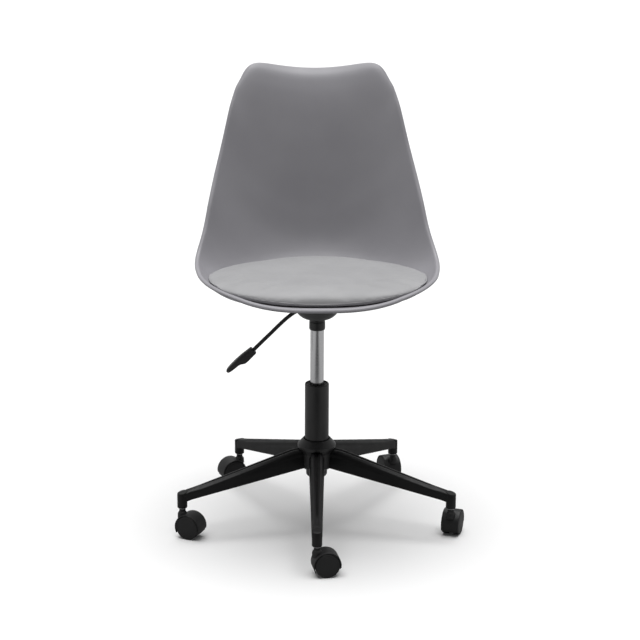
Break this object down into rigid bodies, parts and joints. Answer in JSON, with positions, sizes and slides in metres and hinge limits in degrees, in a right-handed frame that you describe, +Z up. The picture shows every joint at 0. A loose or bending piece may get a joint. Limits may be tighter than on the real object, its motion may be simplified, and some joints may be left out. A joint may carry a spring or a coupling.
{
  "type": "swivel chair",
  "caption": "Height-adjustable swivel chair: grey moulded bucket shell with a round seat pad on a gas column, on a black five-arm base with twin-wheel casters.",
  "frame": {"origin": "on the floor, under the middle of the chair's overall box, with the seat raised to its top stop", "axes": "+Z up along the gas column, +Y from the front lip of the seat towards the backrest, +X to the right when seen from the front"},
  "size_m": [0.6016, 0.59, 0.9301],
  "materials": {
    "shell_plastic": "satin moulded polypropylene, fine grain",
    "pad_leather": "soft grey artificial leather, fine grain",
    "board_wood": "plain thin plywood",
    "black_steel": "black powder coat, satin",
    "bright_steel": "zinc-plated steel",
    "chrome": "polished hard chrome",
    "black_plastic": "moulded black nylon, satin",
    "rubber": "matt"
  },
  "bodies": {
    "base": {"base_hub": "black_steel", "outer_tube": "black_steel", "guide_bush": "black_plastic", "arm_1": "black_steel", "arm_2": "black_steel", "arm_3": "black_steel", "arm_4": "black_steel", "arm_5": "black_steel", "caster_socket_1": "black_steel", "caster_socket_2": "black_steel", "caster_socket_3": "black_steel", "caster_socket_4": "black_steel", "caster_socket_5": "black_steel", "caster_stem_1": "bright_steel", "caster_stem_2": "bright_steel", "caster_stem_3": "bright_steel", "caster_stem_4": "bright_steel", "caster_stem_5": "bright_steel"},
    "gas_rod": {"piston_rod": "bright_steel", "thrust_bearing": "bright_steel", "bearing_washer": "bright_steel", "rubber_bumper": "rubber", "retaining_clip": "bright_steel"},
    "seat": {"shell": "shell_plastic", "seat_cushion": "pad_leather", "cushion_board": "board_wood", "seat_plate": "black_steel", "plate_dish": "black_steel", "taper_socket": "black_steel", "plate_screw_1": "bright_steel", "plate_screw_2": "bright_steel", "plate_screw_3": "bright_steel", "plate_screw_4": "bright_steel", "inner_cylinder": "chrome"},
    "lever": {"lever_rod": "black_steel", "lever_grip": "black_plastic"},
    "release_button": {"release_button": "bright_steel"},
    "caster_1": {"caster_hood_1": "black_plastic", "caster_axle_1": "bright_steel"},
    "wheel_left_1": {"wheel_left_1": "black_plastic"},
    "wheel_right_1": {"wheel_right_1": "black_plastic"},
    "caster_2": {"caster_hood_2": "black_plastic", "caster_axle_2": "bright_steel"},
    "wheel_left_2": {"wheel_left_2": "black_plastic"},
    "wheel_right_2": {"wheel_right_2": "black_plastic"},
    "caster_3": {"caster_hood_3": "black_plastic", "caster_axle_3": "bright_steel"},
    "wheel_left_3": {"wheel_left_3": "black_plastic"},
    "wheel_right_3": {"wheel_right_3": "black_plastic"},
    "caster_4": {"caster_hood_4": "black_plastic", "caster_axle_4": "bright_steel"},
    "wheel_left_4": {"wheel_left_4": "black_plastic"},
    "wheel_right_4": {"wheel_right_4": "black_plastic"},
    "caster_5": {"caster_hood_5": "black_plastic", "caster_axle_5": "bright_steel"},
    "wheel_left_5": {"wheel_left_5": "black_plastic"},
    "wheel_right_5": {"wheel_right_5": "black_plastic"}
  },
  "joints": [
    {"name": "seat_swivel", "type": "hinge", "parent": "base", "child": "gas_rod", "pos_m": [-0.0059, 0.0148, 0.104], "axis": [0, 0, 1], "continuous": true},
    {"name": "seat_height", "type": "slide", "parent": "gas_rod", "child": "seat", "axis": [0, 0, 1], "range_m": [-0.1, 0]},
    {"name": "height_lever", "type": "hinge", "parent": "seat", "child": "lever", "pos_m": [-0.0479, 0.0148, 0.4575], "axis": [0, 1, 0], "range_deg": [0, 5], "stiffness_Nm_per_rad": 4, "springref_deg": -5.73},
    {"name": "button_press", "type": "slide", "parent": "seat", "child": "release_button", "axis": [0, 0, -1], "range_m": [0, 0.004]},
    {"name": "caster_swivel_1", "type": "hinge", "parent": "base", "child": "caster_1", "pos_m": [-0.01351, -0.2758, 0.06], "axis": [0, 0, 1], "continuous": true},
    {"name": "wheel_spin_left_1", "type": "hinge", "parent": "caster_1", "child": "wheel_left_1", "pos_m": [0.00478, -0.27303, 0.025], "axis": [-0.1495, 0.9888, 0], "continuous": true},
    {"name": "wheel_spin_right_1", "type": "hinge", "parent": "caster_1", "child": "wheel_right_1", "pos_m": [0.00478, -0.27303, 0.025], "axis": [-0.1495, 0.9888, 0], "continuous": true},
    {"name": "caster_swivel_2", "type": "hinge", "parent": "base", "child": "caster_2", "pos_m": [0.26813, -0.08224, 0.06], "axis": [0, 0, 1], "continuous": true},
    {"name": "wheel_spin_left_2", "type": "hinge", "parent": "caster_2", "child": "wheel_left_2", "pos_m": [0.27442, -0.06484, 0.025], "axis": [-0.9403, 0.3404, 0], "continuous": true},
    {"name": "wheel_spin_right_2", "type": "hinge", "parent": "caster_2", "child": "wheel_right_2", "pos_m": [0.27442, -0.06484, 0.025], "axis": [-0.9403, 0.3404, 0], "continuous": true},
    {"name": "caster_swivel_3", "type": "hinge", "parent": "base", "child": "caster_3", "pos_m": [0.17107, 0.24543, 0.06], "axis": [0, 0, 1], "continuous": true},
    {"name": "wheel_spin_left_3", "type": "hinge", "parent": "caster_3", "child": "wheel_left_3", "pos_m": [0.16438, 0.26268, 0.025], "axis": [-0.9323, -0.3616, 0], "continuous": true},
    {"name": "wheel_spin_right_3", "type": "hinge", "parent": "caster_3", "child": "wheel_right_3", "pos_m": [0.16438, 0.26268, 0.025], "axis": [-0.9323, -0.3616, 0], "continuous": true},
    {"name": "caster_swivel_4", "type": "hinge", "parent": "base", "child": "caster_4", "pos_m": [-0.17055, 0.25437, 0.06], "axis": [0, 0, 1], "continuous": true},
    {"name": "wheel_spin_left_4", "type": "hinge", "parent": "caster_4", "child": "wheel_left_4", "pos_m": [-0.18742, 0.24676, 0.025], "axis": [0.4115, -0.9114, 0], "continuous": true},
    {"name": "wheel_spin_right_4", "type": "hinge", "parent": "caster_4", "child": "wheel_right_4", "pos_m": [-0.18742, 0.24676, 0.025], "axis": [0.4115, -0.9114, 0], "continuous": true},
    {"name": "caster_swivel_5", "type": "hinge", "parent": "base", "child": "caster_5", "pos_m": [-0.28463, -0.06776, 0.06], "axis": [0, 0, 1], "continuous": true},
    {"name": "wheel_spin_left_5", "type": "hinge", "parent": "caster_5", "child": "wheel_left_5", "pos_m": [-0.26802, -0.0759, 0.025], "axis": [0.4399, 0.898, 0], "continuous": true},
    {"name": "wheel_spin_right_5", "type": "hinge", "parent": "caster_5", "child": "wheel_right_5", "pos_m": [-0.26802, -0.0759, 0.025], "axis": [0.4399, 0.898, 0], "continuous": true}
  ],
  "couplings": [
    {"joint": "button_press", "follows": "height_lever", "m_per_rad": 0.042}
  ]
}
